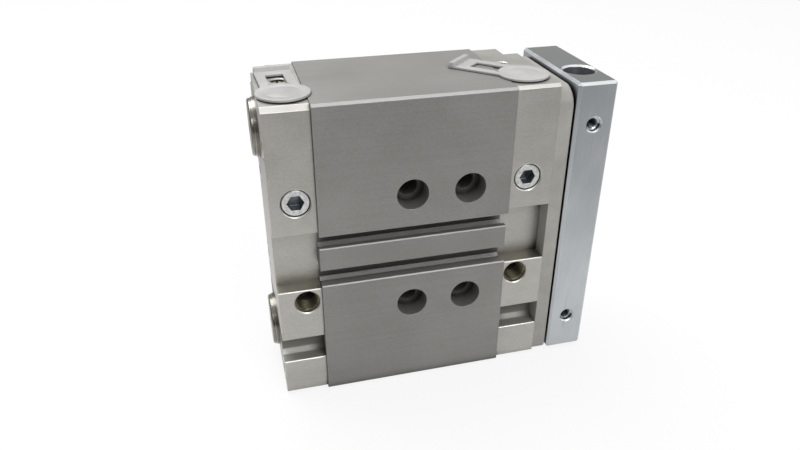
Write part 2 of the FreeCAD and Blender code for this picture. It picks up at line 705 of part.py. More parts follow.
# ---------------------------------------------------------------- piston
def piston_grooves():
    """Start, width, label and clearance to the bore of each ring on the piston."""
    bands = [
        ("piston_seal_rear", "piston_seal", "running_gap"),
        ("piston_magnet", "magnet_ring", "piston_gap"),
        ("piston_guide_ring", "guide_ring", "running_gap"),
        ("piston_seal_front", "piston_seal", "running_gap"),
    ]
    land = dims("(piston_length - 2 * piston_seal - magnet_ring - guide_ring) / 5")
    start, grooves = land, []
    for label, width, gap in bands:
        grooves.append((label, start, width, gap))
        start = f"{start} + {width} + {land}"
    return grooves


def piston():
    """Piston with a groove for each of its rings, and the rings."""
    outer = dims("piston_bore / 2 - piston_gap")
    floor = dims(f"{outer} - groove_depth")
    body = new_body("piston", PISTON_REAR, AXIS, MIDDLE)
    corners = [("0", "rod_spigot / 2"), ("0", outer)]
    for _, start, width, _ in piston_grooves():
        end = f"{start} + {width}"
        corners += [(start, outer), (start, floor), (end, floor), (end, outer)]
    corners += [("piston_length", outer), ("piston_length", "rod_spigot / 2")]
    turned(body, corners)
    for label, start, width, gap in piston_grooves():
        ring(label, f"{PISTON_REAR} + {start}", AXIS, MIDDLE, f"(piston_bore / 2 - {gap})",
             floor, width)


def piston_rod():
    """Piston rod, stepped to pass through the piston and to take its nut."""
    body = new_body("piston_rod", PISTON_REAR, AXIS, MIDDLE)
    length = dims(f"{YOKE_FACE} + rod_seat - {PISTON_REAR}")
    core, depth = "centre_screw / 2", "(centre_screw_bite + screw_runout)"
    turned(body, [
        ("-piston_nut_height", "0"),
        ("-piston_nut_height", "rod_spigot / 2"),
        ("piston_length", "rod_spigot / 2"),
        ("piston_length", "piston_rod / 2"),
        (length, "piston_rod / 2"),
        (length, core),
        (f"{length} - {depth}", core),
        (f"{length} - {depth} - {core}", "0"),
    ])
    nut = new_body("piston_nut", PISTON_REAR, AXIS, MIDDLE)
    section = new_sketch(nut, "YZ_Plane", "-piston_nut_height")
    draw_hexagon(section, "piston_nut")
    draw_circle(section, "0", "0", "rod_spigot / 2")
    pad(nut, section, "piston_nut_height")


def barrel_rings():
    """Ring seals, end buffers, and the piston rod's bush and seal."""
    bore = "piston_bore / 2"
    seal = ("(ring_diameter / 2 + ring_width)", "ring_diameter / 2", "ring_thickness")
    ring("cap_seal_rear", f"{REAR_JOINT} - ring_thickness", AXIS, MIDDLE, *seal)
    ring("cap_seal_front", FRONT_JOINT, AXIS, MIDDLE, *seal)
    buffer = (bore, "chamber_recess / 2", "buffer_thickness")
    ring("buffer_rear", REAR_JOINT, AXIS, MIDDLE, *buffer)
    ring("buffer_front", f"{FRONT_JOINT} - buffer_thickness", AXIS, MIDDLE, *buffer)
    ring("piston_rod_bush", f"{FRONT_JOINT} + chamber_recess_depth", AXIS, MIDDLE,
         "(piston_rod / 2 + rod_bush_wall)", "piston_rod / 2 + running_gap",
         "(bearing_cap_length - chamber_recess_depth - rod_seal_depth)")
    lip_seal("piston_rod_seal", MIDDLE, "piston_rod", "rod_seal_width", "rod_seal_depth")


# ---------------------------------------------------------------- yoke plate
def yoke_plate():
    """Steel plate with the seats of the three rods and the payload's threads."""
    body = new_body("yoke_plate", YOKE_FACE)
    low, high = "yoke_inset", "body_height - yoke_inset"
    section = new_sketch(body, "YZ_Plane")
    draw_box(section, "yoke_inset", "body_depth - yoke_inset", low, high)
    plate = pad(body, section, "yoke_thickness")
    break_edges(body, plate, edges_where(plate, lambda e: True), "yoke_chamfer")

    guides = [("axis_depth", UPPER), ("axis_depth", LOWER)]
    centre = [("axis_depth", MIDDLE)]
    outer_face = "yoke_thickness"
    drill(body, "YZ_Plane", [(y, z, "guide_rod / 2") for y, z in guides], "rod_seat",
          backwards=True)
    drill(body, "YZ_Plane", [(y, z, "piston_rod / 2") for y, z in centre], "rod_seat",
          backwards=True)
    drill(body, "YZ_Plane",
          [(y, z, "guide_screw / 2 + bolt_gap") for y, z in guides]
          + [(y, z, "centre_screw / 2 + bolt_gap") for y, z in centre], offset=outer_face)
    drill(body, "YZ_Plane",
          [(y, z, "guide_screw_head / 2 + bolt_gap") for y, z in guides],
          "guide_screw + head_sink", outer_face)
    drill(body, "YZ_Plane",
          [(y, z, "centre_screw_head / 2 + bolt_gap") for y, z in centre],
          "centre_screw + head_sink", outer_face)

    across = ("axis_depth - payload_pitch_across / 2", "axis_depth + payload_pitch_across / 2")
    rows = (f"{MIDDLE} - payload_pitch_up / 2", f"{MIDDLE} + payload_pitch_up / 2")
    drill(body, "YZ_Plane", [(y, z, "payload_core / 2") for y in across for z in rows],
          offset=outer_face)
    drill(body, "YZ_Plane", [("axis_depth", z, "centring_diameter / 2") for z in rows],
          "centring_depth", outer_face)

    half = "yoke_thickness / 2"
    drill(body, "XZ_Plane", [(half, z, "payload_core / 2") for z in (UPPER, LOWER)],
          "side_thread_depth", "-yoke_inset")
    bore = [(half, "edge_bore_front", "edge_bore / 2")]
    drill(body, "XY_Plane", bore, "edge_bore_depth", high)
    drill(body, "XY_Plane", bore, "edge_bore_depth", low, backwards=True)

    threads = edges_where(body.Tip, lambda e: is_mouth(e, "payload_core / 2", 1, "yoke_inset"))
    break_edges(body, body.Tip, threads, "thread_chamfer")
    bores = edges_where(body.Tip, lambda e: is_mouth(e, "edge_bore / 2", 2, low)
                        or is_mouth(e, "edge_bore / 2", 2, high))
    break_edges(body, body.Tip, bores, "edge_bore_chamfer")


def fasteners():
    """The screws of the caps, the cover and the yoke plate."""
    rearwards = Rotation(Vector(0, 0, 1), 180)
    for name, side, length in (("end_cap", -1, "end_cap_length"),
                               ("bearing_cap", 1, "bearing_cap_length")):
        shank = f"{length} - cap_screw + cap_screw_bite"
        master = head_screw(f"{name}_screw_master", "cap_screw", "cap_screw_head", "cap_screw",
                            "cap_screw_socket", shank)
        seat = f"{side} * ({FRONT_JOINT} + {length} - cap_screw)"
        spots = [(seat, f"{FRONT} + {y}", z) for y, z in cap_screw_places()]
        screw_group(f"{name}_screws", master, spots, rearwards if side < 0 else None)

    master = head_screw("cover_screw_master", "cover_screw", "cover_screw_head",
                        "cover_head_height", "cover_screw_socket",
                        "cover_thickness - cover_head_height - head_sink + cover_screw_bite")
    seat = f"{COVER_FACE} + cover_thickness - cover_head_height - head_sink"
    spots = [(seat, f"{FRONT} + {y}", z) for y, z in cover_screw_places()]
    screw_group("cover_screws", master, spots)

    for name, height in (("guide", (UPPER, LOWER)), ("centre", (MIDDLE,))):
        thread = f"{name}_screw"
        master = head_screw(f"{thread}_master", thread, f"{thread}_head", thread,
                            f"{thread}_socket",
                            f"yoke_thickness - head_sink - {thread} - rod_seat + {thread}_bite")
        seat = f"{YOKE_FACE} + yoke_thickness - head_sink - {thread}"
        label = "guide_rod_screws" if name == "guide" else "piston_rod_screw"
        screw_group(label, master, [(seat, AXIS, z) for z in height])


# ---------------------------------------------------------------- small parts
def port_plugs():
    """Threaded plugs, flush with the front faces of the caps."""
    for name, side, joint in (("rear", -1, REAR_JOINT), ("front", 1, FRONT_JOINT)):
        body = new_body(f"port_plug_{name}", f"{joint} + {side} * plug_setback",
                        f"{FRONT} + cap_sink + plug_sink", "plug_height",
                        Rotation(Vector(0, 0, 1), 90))
        turned(body, [
            ("0", "0"),
            ("0", "plug_diameter / 2 - plug_bevel"),
            ("plug_bevel", "plug_diameter / 2"),
            ("plug_length", "plug_diameter / 2"),
            ("plug_length", "0"),
        ])
        socket = new_sketch(body, "YZ_Plane")
        draw_hexagon(socket, "plug_socket")
        pocket(body, socket, "plug_length / 2", backwards=True)


def cushion_screws():
    """Adjusting screws of the end cushioning, each with a screwdriver slot."""
    for name, side, joint in (("rear", -1, REAR_JOINT), ("front", 1, FRONT_JOINT)):
        body = new_body(f"cushion_screw_{name}", f"{joint} + {side} * {name}_cushion_setback",
                        AXIS, f"{TOP} - cushion_hole_depth + running_gap",
                        Rotation(Vector(0, 1, 0), -90))
        outer = "cushion_hole / 2 - running_gap"
        length = "cushion_screw_length"
        turned(body, [
            ("0", "0"),
            ("0", f"{outer} - ring_bevel"),
            ("ring_bevel", outer),
            (f"{length} - ring_bevel", outer),
            (length, f"{outer} - ring_bevel"),
            (length, "0"),
        ])
        slot = new_sketch(body, "YZ_Plane", length)
        draw_box(slot, "-cushion_hole", "cushion_hole", "-cushion_slot / 2", "cushion_slot / 2")
        pocket(body, slot, "cushion_slot * 1.5")


def dust_plugs():
    """Transport plugs in the top ports, each with a strap and a pull bar."""
    for name, side, joint in (("rear", -1, REAR_JOINT), ("front", 1, FRONT_JOINT)):
        body = new_body(f"dust_plug_{name}", f"{joint} + {side} * top_port_setback",
                        f"{FRONT} + gallery_depth", "body_height + tag_lift",
                        Rotation(Vector(0, 0, 1), 90))
        body.setExpression("Placement.Rotation.Angle", f"Dims.{name}_tag_angle * 1 deg")
        stem = "port_core / 2 - tag_stem_gap"
        depth = "(tag_stem_length + tag_lift + cap_rim)"
        flange = new_sketch(body, "XY_Plane")
        draw_circle(flange, "0", "0", "tag_flange / 2")
        pad(body, flange, "tag_thickness")
        strap = new_sketch(body, "XY_Plane")
        tip = "tag_reach - tag_bar_width / 2"
        draw_outline(strap, [
            ("0", "-tag_neck / 2"),
            (f"{tip} - tag_flare", "-tag_neck / 2"),
            (f"{tip} - tag_flare / 3", "-tag_neck / 2 - (tag_bar - tag_neck) / 8"),
            (tip, "-tag_bar / 2"),
            (tip, "tag_bar / 2"),
            (f"{tip} - tag_flare / 3", "tag_neck / 2 + (tag_bar - tag_neck) / 8"),
            (f"{tip} - tag_flare", "tag_neck / 2"),
            ("0", "tag_neck / 2"),
        ])
        pad(body, strap, "tag_thickness")
        bar = new_sketch(body, "XY_Plane")
        draw_box(bar, "tag_reach - tag_bar_width / 2", "tag_reach + tag_bar_width / 2",
                 "-tag_bar / 2", "tag_bar / 2")
        pad(body, bar, "tag_thickness + tag_bar_rise")
        shaft = new_sketch(body, "XY_Plane")
        draw_circle(shaft, "0", "0", stem)
        pad(body, shaft, depth, backwards=True)
        drill(body, "XY_Plane", [("0", "0", f"{stem} - tag_stem_wall")],
              f"{depth} - tag_stem_wall", f"-{depth}", backwards=True)
        window = new_sketch(body, "XY_Plane", "tag_thickness")
        draw_box(window, "tag_window_start", "tag_window_start + tag_window",
                 "-tag_window_width / 2", "tag_window_width / 2")
        pocket(body, window)


# ---------------------------------------------------------------- build, check, export
def check_features():
    """Stop unless every feature is sound and every cut removes material."""
    for feature in document.Objects:
        bad = {"Invalid", "Error"} & set(feature.State)
        if bad:
            raise SystemExit(f"{feature.Name}: {sorted(bad)}")
        if feature.TypeId == "PartDesign::Pocket":
            removed = feature.BaseFeature.Shape.Volume - feature.Shape.Volume
            if removed < 0.01:
                raise SystemExit(f"{feature.Name} removes nothing")
    for item in parts:
        if item.Shape.isNull() or not item.Shape.isValid():
            raise SystemExit(f"{item.Label} has no valid shape")


barrel_profile()
end_cap()
bearing_cap()
bearing_cover()
guide_parts()
piston()
piston_rod()
barrel_rings()
yoke_plate()
fasteners()
port_plugs()
cushion_screws()
dust_plugs()
document.recompute()
check_features()

os.makedirs("parts", exist_ok=True)
for item in parts:
    item.Shape.exportStep(f"parts/{item.Label}.step")
    solids = len(item.Shape.Solids)
    print(f"{item.Label}: {solids} solid(s), {item.Shape.Volume:.1f} mm3")
print(len(parts), "sub-parts")
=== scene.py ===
# %% [markdown]
# # A guided pneumatic cylinder, dressed for the studio
# The cylinder arrives as a finished engineering model: a slotted aluminium body between two
# machined caps, a steel yoke plate, and two guide rods that slide through the body.  Its
# shapes are right, but it has no surface.  This lesson gives each piece the finish that its
# making leaves behind, with painted shade in its hollows and painted highlights on its edges,
# adds what the engineering model draws plainly (screw threads, soft moulded plugs), and sets
# a camera and three lamps.
#
# Everything is in metres.  X runs along the stroke, Y from the front face to the back, Z up.

# %% Load the frame
import json
import math

import bpy
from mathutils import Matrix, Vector


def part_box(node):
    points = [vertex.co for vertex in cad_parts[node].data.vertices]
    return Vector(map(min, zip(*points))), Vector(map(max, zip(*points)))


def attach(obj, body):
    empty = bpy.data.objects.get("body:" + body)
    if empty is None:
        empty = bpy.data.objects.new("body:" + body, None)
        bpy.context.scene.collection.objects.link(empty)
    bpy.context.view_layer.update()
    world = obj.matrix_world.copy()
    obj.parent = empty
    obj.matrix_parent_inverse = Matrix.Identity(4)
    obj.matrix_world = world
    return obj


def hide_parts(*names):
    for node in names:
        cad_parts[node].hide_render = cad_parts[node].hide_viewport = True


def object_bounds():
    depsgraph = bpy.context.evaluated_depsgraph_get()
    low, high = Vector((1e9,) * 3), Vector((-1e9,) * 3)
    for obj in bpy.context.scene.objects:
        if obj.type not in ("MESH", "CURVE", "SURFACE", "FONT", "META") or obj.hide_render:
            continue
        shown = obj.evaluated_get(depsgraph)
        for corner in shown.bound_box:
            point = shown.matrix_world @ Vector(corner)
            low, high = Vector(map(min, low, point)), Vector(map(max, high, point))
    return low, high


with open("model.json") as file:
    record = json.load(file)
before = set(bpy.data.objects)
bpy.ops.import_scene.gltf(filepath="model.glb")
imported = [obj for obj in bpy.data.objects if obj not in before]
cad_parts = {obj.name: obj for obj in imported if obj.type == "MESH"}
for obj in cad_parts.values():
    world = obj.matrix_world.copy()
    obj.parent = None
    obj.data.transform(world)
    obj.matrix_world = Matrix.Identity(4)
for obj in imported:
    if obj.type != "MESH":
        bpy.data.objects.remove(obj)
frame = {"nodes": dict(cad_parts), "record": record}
cad_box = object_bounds()
MM = 0.001
print("size in mm:", [round((high - low) / MM, 1) for low, high in zip(*cad_box)])

# %% [markdown]
# ## A small language for materials
# Blender's shader editor draws a material as boxes and wires.  A script could add each box
# and each wire in a line of its own, but then the sum that they stand for gets lost.  Here
# it is written as arithmetic.  `Field` is anything that varies over a surface, and adding
# or multiplying two fields adds the Math node that does it.

# %% Fields
class Field:
    """One output of a node, ready for arithmetic."""

    def __init__(self, tree, socket):
        self.tree = tree
        self.socket = socket

    def maths(self, operation, first, second):
        node = self.tree.nodes.new("ShaderNodeMath")
        node.operation = operation
        plug_in(self.tree, node.inputs[0], first)
        plug_in(self.tree, node.inputs[1], second)
        return Field(self.tree, node.outputs[0])

    def __add__(self, other):
        return self.maths("ADD", self, other)

    def __sub__(self, other):
        return self.maths("SUBTRACT", self, other)

    def __rsub__(self, other):
        return self.maths("SUBTRACT", other, self)

    def __mul__(self, other):
        return self.maths("MULTIPLY", self, other)

    __radd__ = __add__
    __rmul__ = __mul__


def plug_in(tree, socket, value):
    """Wire a field to a socket, or set the socket to a plain value."""
    if isinstance(value, Field):
        tree.links.new(value.socket, socket)
    else:
        socket.default_value = value


print("fields can be added, subtracted and multiplied")

# %% [markdown]
# Every other node comes from one method, `node`, which takes the node's type, the values or
# fields of its sockets, and its settings.  The settings go in first, because they decide
# which sockets there are.  On it stand the patterns that every finish needs: noise, a smooth
# step, and a mix of two colours.  Noise is counted per metre on Object coordinates, so a
# grain has the same size on a large piece and on a small one.

# %% Wiring
class Wiring:
    """A node tree being wired."""

    def __init__(self, tree):
        self.tree = tree

    def node(self, kind, inputs, settings=None, output=0):
        """Add a node of any kind, and give back one of its outputs."""
        node = self.tree.nodes.new("ShaderNode" + kind)
        for name, value in (settings or {}).items():
            setattr(node, name, value)
        for name, value in inputs.items():
            plug_in(self.tree, node.inputs[name], value)
        return Field(self.tree, node.outputs[output])

    def place(self, stretch):
        """Place on the piece; a small number draws a pattern out along that axis."""
        spot = self.node("TexCoord", {}, output="Object")
        return self.node("Mapping", {"Vector": spot, "Scale": stretch})

    def noise(self, per_metre, detail, stretch=(1, 1, 1)):
        """Cloudy pattern between 0 and 1."""
        return self.node("TexNoise", {"Vector": self.place(stretch), "Scale": per_metre,
                                      "Detail": detail, "Roughness": 0.55})

    def band(self, field, low, high, to_low=0.0, to_high=1.0):
        """Smooth step of a field from low to high."""
        return self.node("MapRange", {"Value": field, "From Min": low, "From Max": high,
                                      "To Min": to_low, "To Max": to_high},
                         {"interpolation_type": "SMOOTHSTEP"})

    def blend(self, first, second, mask):
        """Mix two colours by a mask."""
        return self.node("Mix", {"Factor": mask, "A": first, "B": second},
                         {"data_type": "RGBA"}, output="Result")


print("wiring has", [name for name in vars(Wiring) if name[0] != "_"])

# %% [markdown]
# ## What a finish looks at
# A real surface isn't even, and here some of its light and shade is painted into its colour:
# its outer edges are painted lighter, partly as wear and partly as a painted highlight, its
# holes and inner corners get painted shade, and a chamfer gets a painted highlight.  This
# could be painted by hand, as a map for each piece.  `Finish` finds it in the shape instead,
# so one finish fits every piece that gets it.  A Bevel node rounds sharp corners in the
# shading and shows where they are, Ambient Occlusion tells a hole from an open face, and the
# Normal and Object coordinates tell which way a face looks and where it is.

# %% Finishes
class Finish(Wiring):
    """A material being made."""

    EDGE = (0.01, 0.16)  # turn of the normal, at an edge's border and on the edge
    OUTER = (0.6, 0.9)   # openness, in an inner corner and on an outer face
    SLANT = (0.2, 0.4)   # product of a normal's Y and Z, on a square face and a slant one

    def __init__(self, name, **constants):
        self.material = bpy.data.materials.new(name)
        self.material.use_nodes = True
        super().__init__(self.material.node_tree)
        self.shader = self.tree.nodes["Principled BSDF"]
        self.set(**constants)

    def set(self, **sockets):
        """Set or wire sockets of the shader: base_color stands for Base Color."""
        for name, value in sockets.items():
            plug_in(self.tree, self.shader.inputs[name.replace("_", " ").title()], value)

    def made(self, **sockets):
        """Wire the last sockets, and give back the material."""
        self.set(**sockets)
        print(self.material.name, "has", len(self.tree.nodes), "nodes")
        return self.material

    def soft_edges(self, radius):
        """Rounded normals along the edges, and a mask that is 1 on an edge."""
        rounded = self.node("Bevel", {"Radius": radius}, {"samples": 6})
        flat = self.node("NewGeometry", {}, output="Normal")
        agreement = self.node("VectorMath", {0: rounded, 1: flat},
                              {"operation": "DOT_PRODUCT"}, output="Value")
        return rounded, self.band(1 - agreement, *self.EDGE)

    def openness(self, reach):
        """1 where a surface lies open, towards 0 in holes, slots and inner corners."""
        return self.node("AmbientOcclusion", {"Distance": reach}, {"samples": 8}, output="AO")

    def facing(self, axis):
        """How much a face looks along X, Y or Z, whichever way."""
        normal = self.node("TexCoord", {}, output="Normal")
        size = self.node("VectorMath", {0: normal}, {"operation": "ABSOLUTE"})
        return self.node("SeparateXYZ", {"Vector": size}, output=axis)

    def along(self, axis):
        """Place on the object along X, Y or Z, in metres."""
        spot = self.node("TexCoord", {}, output="Object")
        return self.node("SeparateXYZ", {"Vector": spot}, output=axis)

    def wear_and_highlight_masks(self, radius, reach):
        """Rounded normals, openness, and masks of the outer edges and outer chamfers, where wear
        and painted highlights go.
        """
        rounded, edge = self.soft_edges(radius)
        open_air = self.openness(reach)
        outer = self.band(open_air, *self.OUTER)
        slant = self.band(self.facing("Y") * self.facing("Z"), *self.SLANT)
        return rounded, open_air, edge * outer, slant * outer

    def bump(self, height, depth, normal):
        """Relief of a given depth in metres, on top of the rounded normals."""
        return self.node("Bump", {"Height": height, "Distance": depth, "Strength": 1.0,
                                  "Normal": normal})


print("a finish also has", [name for name in vars(Finish) if name[0] != "_"])

# %% [markdown]
# Two steps come back in nearly every finish.  `mottle` lets a surface wander between two
# shades, because no real metal or plastic has one colour all over.  The other paints shade:
# it turns the colour darker where the surface is closed in, as painted shade in a hole.
# Colours are given as they look on screen, which `rgb` turns into the linear light that
# shaders work in.

# %% Colours
def rgb(red, green, blue):
    """Colour from its values on screen, 0 to 255, by the sRGB curve."""
    def linear(value):
        value = value / 255
        return value / 12.92 if value <= 0.04045 else ((value + 0.055) / 1.055) ** 2.4
    return (linear(red), linear(green), linear(blue), 1.0)


def mottle(finish, dark, light, tone, low=0.3, high=0.7):
    """Colour that goes from dark to light as a tone goes from low to high."""
    return finish.blend(dark, light, finish.band(tone, low, high))


def paint_hollow_shade(finish, colour, hollow_shade, open_air, low, high):
    """Colour that turns to a painted shade colour as the surface closes in."""
    return finish.blend(colour, hollow_shade, finish.band(1 - open_air, low, high))


print("128 on screen is", round(rgb(128, 128, 128)[0], 3), "of white in linear light")

# %% [markdown]
# ## Anodised aluminium
# The body is an extrusion that was blasted and anodised, which leaves a dead matt grey with
# a fine grain.  The press leaves faint lines along X under it.  One flat grey would look
# like card, so noises of three sizes are mixed: clouds of a few centimetres, drawn lines,
# and a grain of a third of a millimetre, which also gives the relief.

# %% Anodised extrusion
DRAWN_ALONG_X = (0.015, 1, 1)


def anodised_extrusion():
    finish = Finish("anodised_extrusion")
    rounded, open_air, edge, slant = finish.wear_and_highlight_masks(0.25 * MM, 6 * MM)
    grain = finish.noise(3400, 2)
    drawn = finish.noise(1100, 2, DRAWN_ALONG_X)
    clouds = finish.noise(26, 3)
    tone = 0.4 * clouds + 0.12 * drawn + 0.48 * grain
    colour = mottle(finish, rgb(126, 125, 122), rgb(144, 143, 140), tone, 0.35, 0.65)
    # Painted shade in slots and holes, a painted highlight on the chamfers, and edges painted
    # lighter, partly as wear and partly as a painted highlight.
    colour = paint_hollow_shade(finish, colour, rgb(46, 44, 39), open_air, 0.1, 0.7)
    colour = finish.blend(colour, rgb(200, 199, 197), slant * 0.7)
    return finish.made(
        base_color=finish.blend(colour, rgb(200, 198, 194), edge * 0.3),
        metallic=0.45 + 0.3 * edge,
        roughness=0.5 + 0.12 * (grain - 0.5) - 0.2 * edge,
        normal=finish.bump(0.8 * grain + 0.2 * drawn, 0.02 * MM, rounded))


profile_metal = anodised_extrusion()

# %% [markdown]
# ## Machined aluminium
# The caps are milled from bar and stay bright.  A cutter leaves fine parallel lines, each a
# little different from the next.  A Wave texture would make them all alike, so a noise
# squeezed hard in one direction gives both the lines' colour and their relief.
#
# The lower pocket of a cap is cut by a small end mill, which leaves a duller wall, and its
# colour gets painted shade, darker towards its top.

# %% Lower pocket of a cap
POCKET_BOTTOM, POCKET_TOP = 14.5 * MM, 24 * MM
POCKET_RIM = 0.1 * MM
POCKET_MOUTH, MOUTH_DEPTH = -22.8 * MM, 0.6 * MM


def pocket_mask(finish):
    """1 inside the lower pocket of a cap."""
    height = finish.along("Z")
    low = finish.band(height, POCKET_BOTTOM - POCKET_RIM, POCKET_BOTTOM)
    high = finish.band(height, POCKET_TOP, POCKET_TOP + POCKET_RIM, 1.0, 0.0)
    inward = finish.band(finish.along("Y"), POCKET_MOUTH, POCKET_MOUTH + MOUTH_DEPTH)
    return low * high * inward


print("the lower pocket is", round((POCKET_TOP - POCKET_BOTTOM) / MM, 1), "mm high")

# %% [markdown]
# The ledges of a cap look up or down, so a face's own direction finds them.  They get painted
# shade, darker than the front.  The cap's top looks up as well, but it lies open and stays
# bright, so the mask ends below it.

# %% Machined caps
MILLED_LINES, MILLED_PASSES = (0.08, 0.6, 1), (0.05, 0.3, 1)
LEDGES_END, TOP_BEGINS = 80 * MM, 90 * MM


def ledge_shade_mask(finish, pocket):
    """Where ledges get painted shade: 1 on faces that look up or down, outside the pocket and
    below the cap's top.
    """
    level = finish.band(finish.facing("Z"), 0.9, 0.98)
    return level * (1 - pocket) * finish.band(finish.along("Z"), LEDGES_END, TOP_BEGINS, 1.0, 0.0)


def machined_aluminium():
    finish = Finish("machined_aluminium")
    rounded, open_air, edge, slant = finish.wear_and_highlight_masks(0.3 * MM, 6 * MM)
    pocket = pocket_mask(finish)
    edge = edge * (1 - pocket)
    grain = finish.noise(3000, 2)
    lines = finish.noise(2600, 2, MILLED_LINES)
    passes = finish.noise(160, 1, MILLED_PASSES)
    clouds = finish.noise(60, 4)
    tone = 0.4 * grain + 0.14 * lines + 0.1 * passes + 0.36 * clouds
    colour = mottle(finish, rgb(168, 166, 160), rgb(188, 186, 181), tone, 0.35, 0.65)
    # Painted shade in holes and inner corners, then on the ledges.
    colour = paint_hollow_shade(finish, colour, rgb(44, 41, 30), open_air, 0.3, 0.75)
    colour = finish.blend(colour, rgb(126, 122, 112), ledge_shade_mask(finish, pocket) * 0.85)
    # Painted shade in the lower pocket, darker towards its top.
    shade = finish.band(finish.along("Z"), POCKET_BOTTOM, POCKET_TOP, 0.55, 1.0)
    colour = finish.blend(colour, rgb(84, 83, 75), pocket * shade)
    # A painted highlight on the chamfers, and edges painted lighter, partly as wear and partly as
    # a painted highlight.
    colour = finish.blend(colour, rgb(236, 234, 228), slant * 0.8)
    return finish.made(
        base_color=finish.blend(colour, rgb(232, 229, 220), edge * 0.6),
        metallic=0.8 - 0.6 * pocket,
        roughness=(0.4 + 0.2 * (clouds - 0.5) + 0.1 * (grain - 0.5) - 0.1 * edge
                   + 0.3 * pocket),
        normal=finish.bump(0.6 * grain + 0.4 * lines, 0.012 * MM, rounded))


cap_metal = machined_aluminium()

# %% [markdown]
# ## Zinc-plated steel
# The yoke plate is ground flat along its length and plated.  Zinc gives a cool, slightly
# blue metal that mirrors more than the aluminium does, with cloudy passivation and small
# handling scratches.  One even shine would be simpler, but it reads as chrome: the clouds in
# the roughness are what tell zinc from it.

# %% Plated yoke plate
GROUND_ALONG_Z, CLOUDED_ALONG_Z, SCRATCHED_ALONG_Z = (1, 1, 0.04), (1, 1, 0.5), (1, 1, 0.06)


def zinc_plated_steel():
    finish = Finish("zinc_plated_steel")
    rounded, open_air, edge, slant = finish.wear_and_highlight_masks(0.2 * MM, 5 * MM)
    ground = finish.noise(2200, 2, GROUND_ALONG_Z)
    clouds = finish.noise(45, 4, CLOUDED_ALONG_Z)
    scratches = finish.band(finish.noise(420, 2, SCRATCHED_ALONG_Z), 0.7, 0.78)
    tone = 0.75 * clouds + 0.25 * ground
    colour = mottle(finish, rgb(172, 177, 180), rgb(194, 198, 201), tone)
    colour = finish.blend(colour, rgb(140, 146, 150), scratches * 0.4)
    # The faces that look up or down get a darker colour: a painted reflection of a dim ceiling.
    top_and_bottom_shade = finish.band(finish.facing("Z"), 0.8, 0.95)
    colour = finish.blend(colour, rgb(150, 155, 153), top_and_bottom_shade)
    # Painted shade in holes, a painted highlight on the chamfers, and edges painted lighter,
    # partly as wear and partly as a painted highlight.
    colour = paint_hollow_shade(finish, colour, rgb(40, 46, 47), open_air, 0.35, 0.85)
    colour = finish.blend(colour, rgb(246, 249, 250), slant * 0.8)
    return finish.made(
        base_color=finish.blend(colour, rgb(250, 252, 253), edge),
        metallic=0.95 - 0.4 * edge - 0.5 * slant,
        roughness=0.3 + 0.2 * (clouds - 0.5) + 0.06 * ground,
        normal=finish.bump(ground, 0.005 * MM, rounded))


yoke_metal = zinc_plated_steel()

# %% [markdown]
# ## Ground rods
# A guide rod is hardened and ground round, so it mirrors its surroundings with only a trace
# of lines round it.  A perfect mirror would look like glass: the lines go into the roughness
# as well as the relief, which breaks the reflection up a little, as grinding does.

# %% Ground rods
ROUND_X = (1, 0.05, 0.05)


def ground_steel():
    finish = Finish("ground_steel")
    rounded, edge = finish.soft_edges(0.2 * MM)
    rings = finish.noise(1500, 2, ROUND_X)
    colour = mottle(finish, rgb(128, 125, 117), rgb(152, 149, 141), finish.noise(80, 3))
    return finish.made(
        # Edges painted lighter, partly as wear and partly as a painted highlight.
        base_color=finish.blend(colour, rgb(236, 233, 225), edge * 0.7),
        metallic=1.0,
        roughness=0.16 + 0.12 * rings,
        normal=finish.bump(rings, 0.004 * MM, rounded))


rod_metal = ground_steel()

# %% [markdown]
# ## Screws, plugs and small turned parts
# These are cold-headed or turned and then plated.  Their rims are painted lighter, partly as
# wear and partly as a painted highlight, and their sockets get painted shade.  They differ in
# colour and shine only, which is why one finish makes them all: its numbers are the dark and
# light tone, the roughness, and the colour of the painted shade in a hollow.

# %% Screws and plugs
def plated_screw(name, dark, light, roughness, hollow_shade):
    finish = Finish(name)
    rounded, edge = finish.soft_edges(0.2 * MM)
    spots = finish.noise(900, 3)
    colour = mottle(finish, dark, light, spots)
    colour = paint_hollow_shade(finish, colour, hollow_shade, finish.openness(6 * MM), 0.25, 0.65)
    return finish.made(
        base_color=finish.blend(colour, rgb(240, 240, 238), edge * 0.6),
        metallic=0.8,
        roughness=roughness + 0.25 * (spots - 0.5),
        normal=finish.bump(spots, 0.006 * MM, rounded))


# The last colour of each finish is the painted shade in its hollows and sockets.
STEEL_HOLLOW_SHADE = rgb(108, 113, 118)
screw_metal = plated_screw("plated_screw", rgb(190, 191, 190), rgb(222, 223, 222), 0.3,
                           STEEL_HOLLOW_SHADE)
plug_metal = plated_screw("plug_metal", rgb(186, 187, 186), rgb(222, 223, 221), 0.32,
                          STEEL_HOLLOW_SHADE)
piston_metal = plated_screw("turned_aluminium", rgb(186, 186, 186), rgb(214, 214, 214), 0.3,
                            STEEL_HOLLOW_SHADE)
# The thread's own tones are darker than the aluminium of the cap that it is cut in: painted shade
# of the port, as is its hollow colour.
thread_metal = plated_screw("cut_thread", rgb(88, 83, 61), rgb(118, 112, 87), 0.35,
                            rgb(62, 57, 36))
brass = plated_screw("nickelled_brass", rgb(164, 158, 140), rgb(196, 190, 172), 0.35,
                     rgb(70, 66, 52))

# %% [markdown]
# ## Plastics and rubber
# Moulded parts carry the fine texture of their mould.  The transport plugs are moulded from
# a milky plastic that lets a little of what is below them through.  Transmission would bend
# the light as well, which a thin soft sheet hardly does, so an Alpha below 1 is enough.

